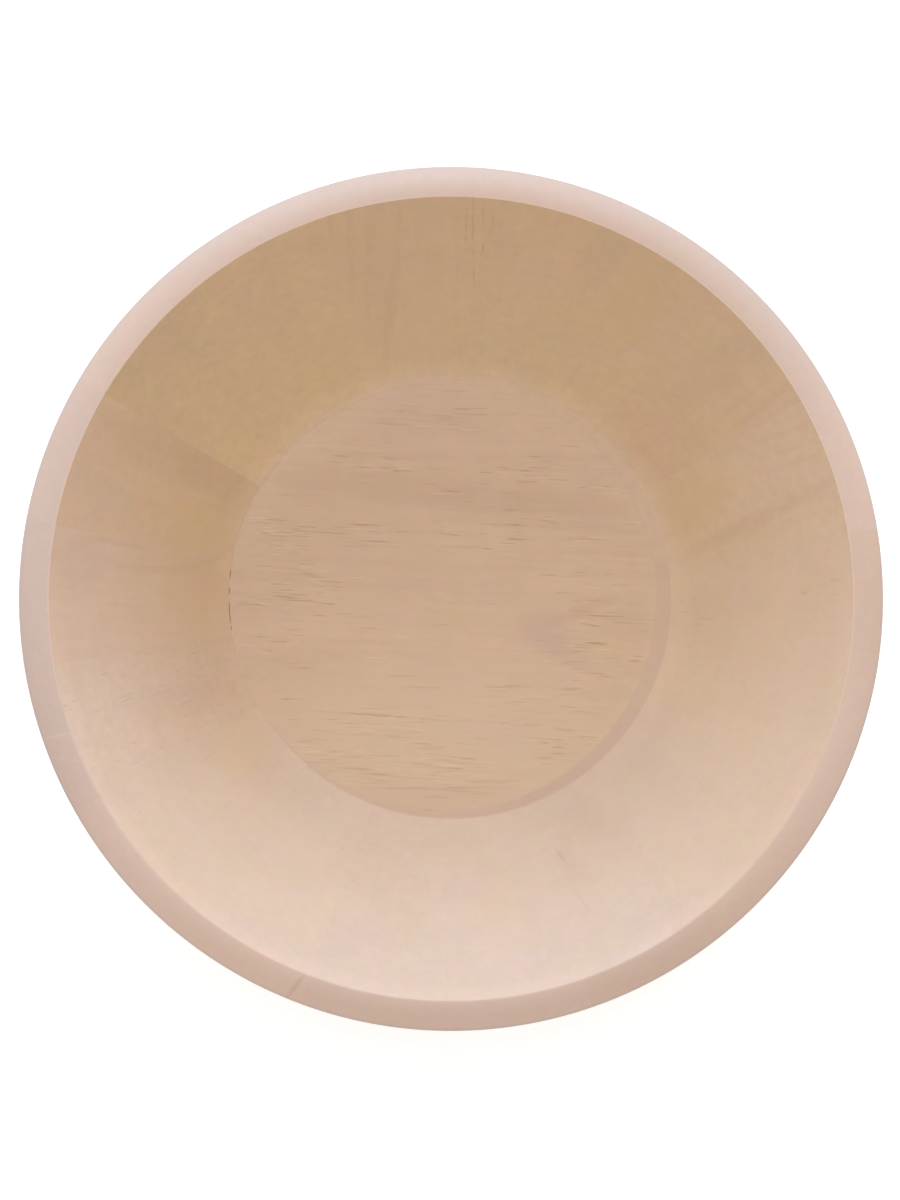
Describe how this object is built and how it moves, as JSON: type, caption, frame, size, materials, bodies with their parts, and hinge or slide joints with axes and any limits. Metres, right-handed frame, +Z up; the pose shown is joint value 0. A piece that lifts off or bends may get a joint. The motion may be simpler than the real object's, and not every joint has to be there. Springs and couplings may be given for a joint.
{
  "type": "wooden bowl",
  "caption": "Round turned wooden bowl of glued wall staves round an inset base disc, with a rounded rim and a low foot ring, for serving food.",
  "frame": {"origin": "centre of the footprint, on the surface that the bowl stands on", "axes": "+Z up out of the mouth; +X to the right and +Y to the top of the picture, along and across the base disc's grain"},
  "size_m": [0.3, 0.3, 0.09],
  "materials": {
    "stave_wood": "sanded and lightly oiled, with the grain running up the wall",
    "base_wood": "sanded and lightly oiled, with the grain running straight across"
  },
  "bodies": {
    "root": {"stave_01": "stave_wood", "stave_02": "stave_wood", "stave_03": "stave_wood", "stave_04": "stave_wood", "stave_05": "stave_wood", "stave_06": "stave_wood", "stave_07": "stave_wood", "stave_08": "stave_wood", "stave_09": "stave_wood", "stave_10": "stave_wood", "stave_11": "stave_wood", "stave_12": "stave_wood", "stave_13": "stave_wood", "stave_14": "stave_wood", "stave_15": "stave_wood", "stave_16": "stave_wood", "stave_17": "stave_wood", "stave_18": "stave_wood", "base_disc": "base_wood"}
  },
  "joints": []
}
